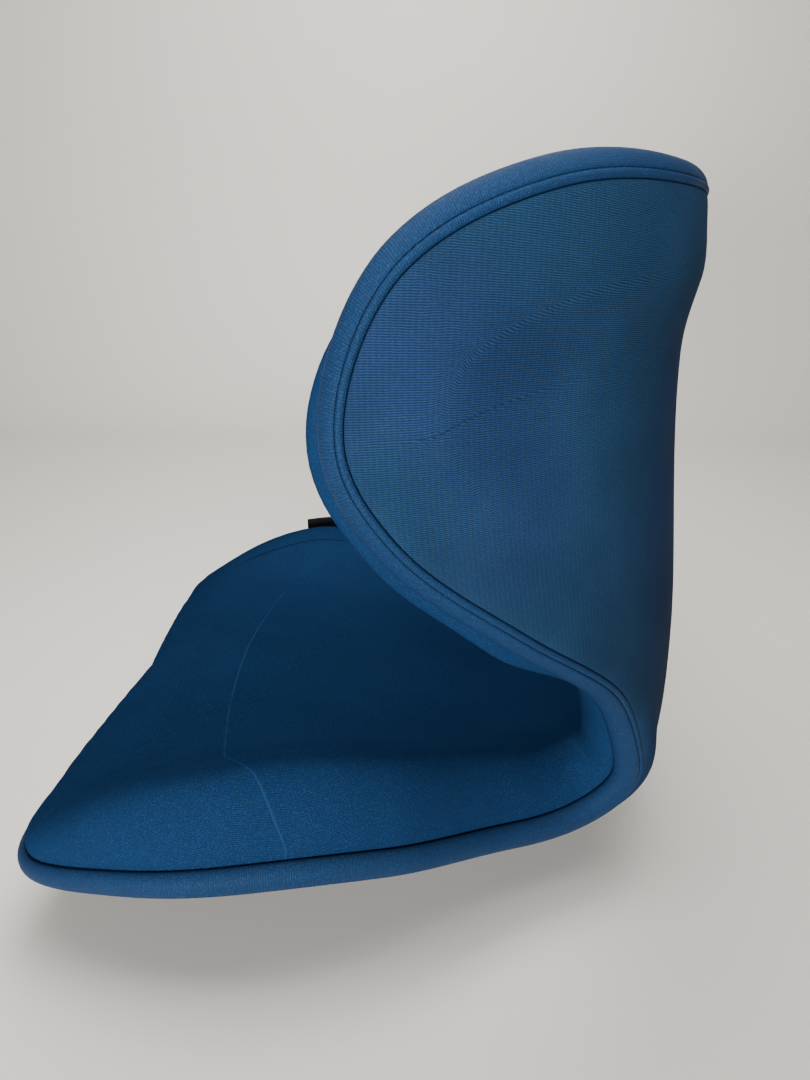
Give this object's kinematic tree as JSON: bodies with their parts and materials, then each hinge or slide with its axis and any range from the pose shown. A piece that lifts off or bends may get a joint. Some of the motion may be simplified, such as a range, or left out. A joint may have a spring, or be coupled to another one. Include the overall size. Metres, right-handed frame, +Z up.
{
  "type": "posture seat",
  "caption": "Padded posture seat: a moulded seat pan and tall wrap-around back in one fabric-covered shell, laid on a chair or the floor to hold the hips and lower back.",
  "frame": {"origin": "centre of the bounding box at the floor, under the seat pan", "axes": "+Z up, -Y towards the front edge of the seat (the way the sitter faces), +X to the sitter's left"},
  "size_m": [0.4162, 0.3392, 0.3536],
  "materials": {
    "shell_plastic": "moulded, matt",
    "foam": "open-cell foam",
    "stretch_cover": "smooth stretch jersey, soft satin",
    "ribbed_cover": "matt knit with fine ribs",
    "band_fabric": "smooth stretch jersey, soft satin",
    "piping_fabric": "folded jersey welt",
    "tag_fabric": "woven, matt, plain",
    "base_plastic": "moulded, fine grain",
    "pad_rubber": "matt",
    "screw_steel": "zinc plated"
  },
  "bodies": {
    "root": {"shell": "shell_plastic", "seat_foam": "foam", "back_foam": "foam", "front_cover": "stretch_cover", "rear_cover": "ribbed_cover", "edge_band": "band_fabric", "piping": "piping_fabric", "side_tag": "tag_fabric", "base_plate": "base_plastic", "grip_pad_1": "pad_rubber", "grip_pad_2": "pad_rubber", "grip_pad_3": "pad_rubber", "grip_pad_4": "pad_rubber", "base_screw_1": "screw_steel", "base_screw_2": "screw_steel", "base_screw_3": "screw_steel", "base_screw_4": "screw_steel"}
  },
  "joints": []
}
